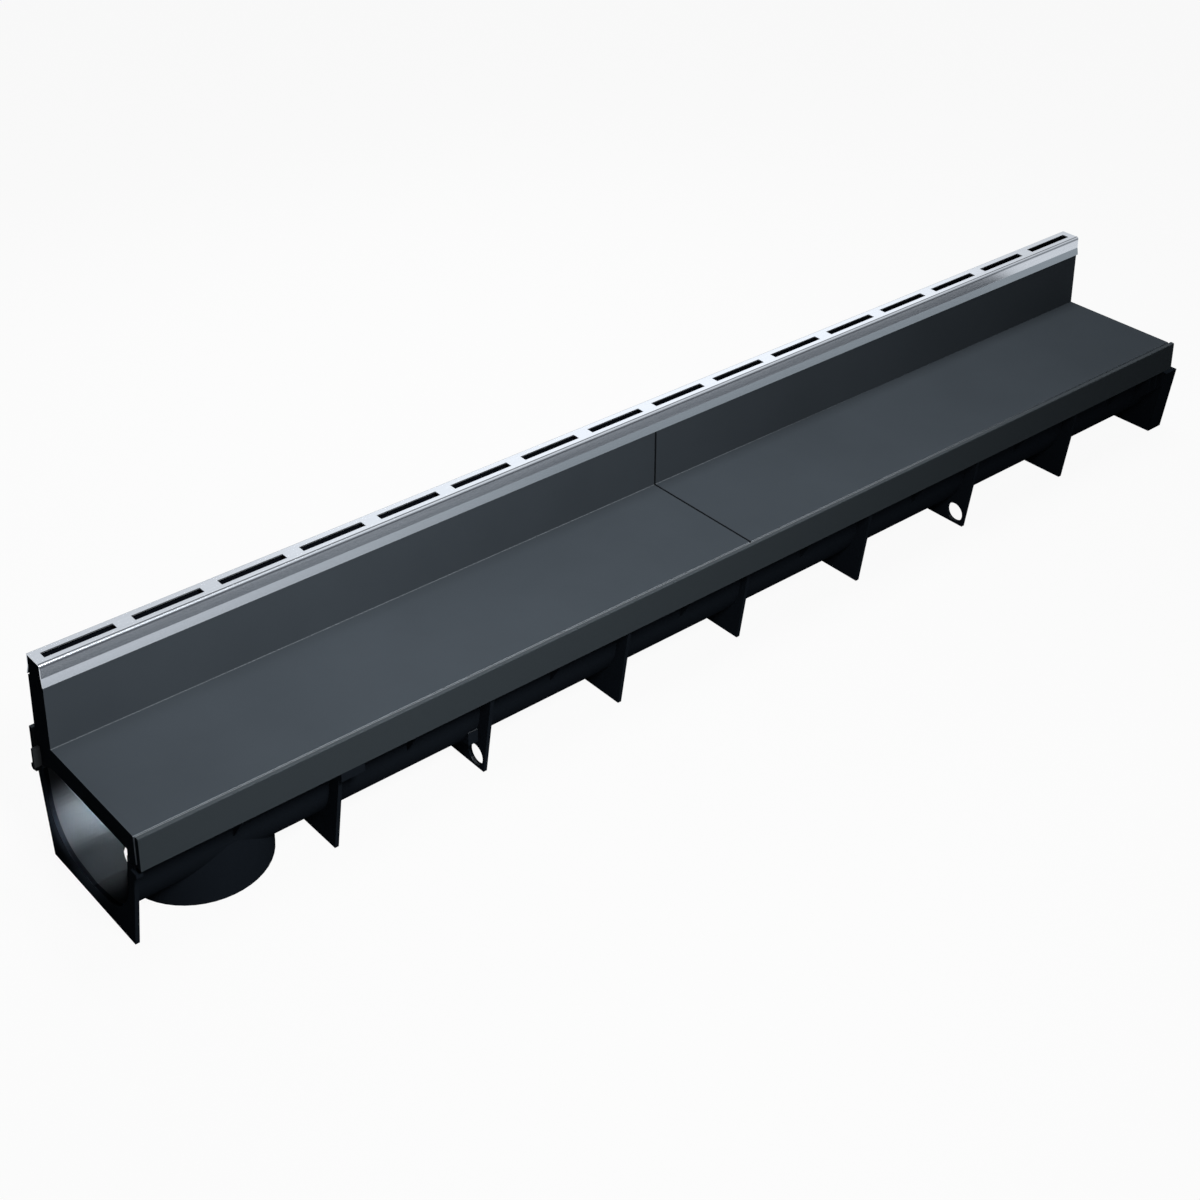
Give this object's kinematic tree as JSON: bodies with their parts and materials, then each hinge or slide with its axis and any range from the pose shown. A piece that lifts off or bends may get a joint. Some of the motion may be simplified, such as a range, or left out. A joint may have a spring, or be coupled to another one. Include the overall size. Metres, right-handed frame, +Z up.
{
  "type": "channel drain",
  "caption": "Ribbed plastic drainage channel with a V-shaped floor, a round bottom outlet and covers that carry an offset slot inlet under a metal cap.",
  "frame": {"origin": "centre of the box around the whole unit, on the plane that it stands on", "axes": "+X along the channel from the outlet end to the socket end, +Y towards the slot upstand, +Z up"},
  "size_m": [1.0204, 0.14, 0.1535],
  "materials": {
    "body_plastic": "fine satin, dark slate grey",
    "cover_plastic": "fine satin, dark slate grey",
    "cap_steel": "satin galvanised or stainless sheet"
  },
  "bodies": {
    "root": {"channel_body": "body_plastic", "cover_near": "cover_plastic", "cover_far": "cover_plastic", "slot_cap": "cap_steel"}
  },
  "joints": []
}
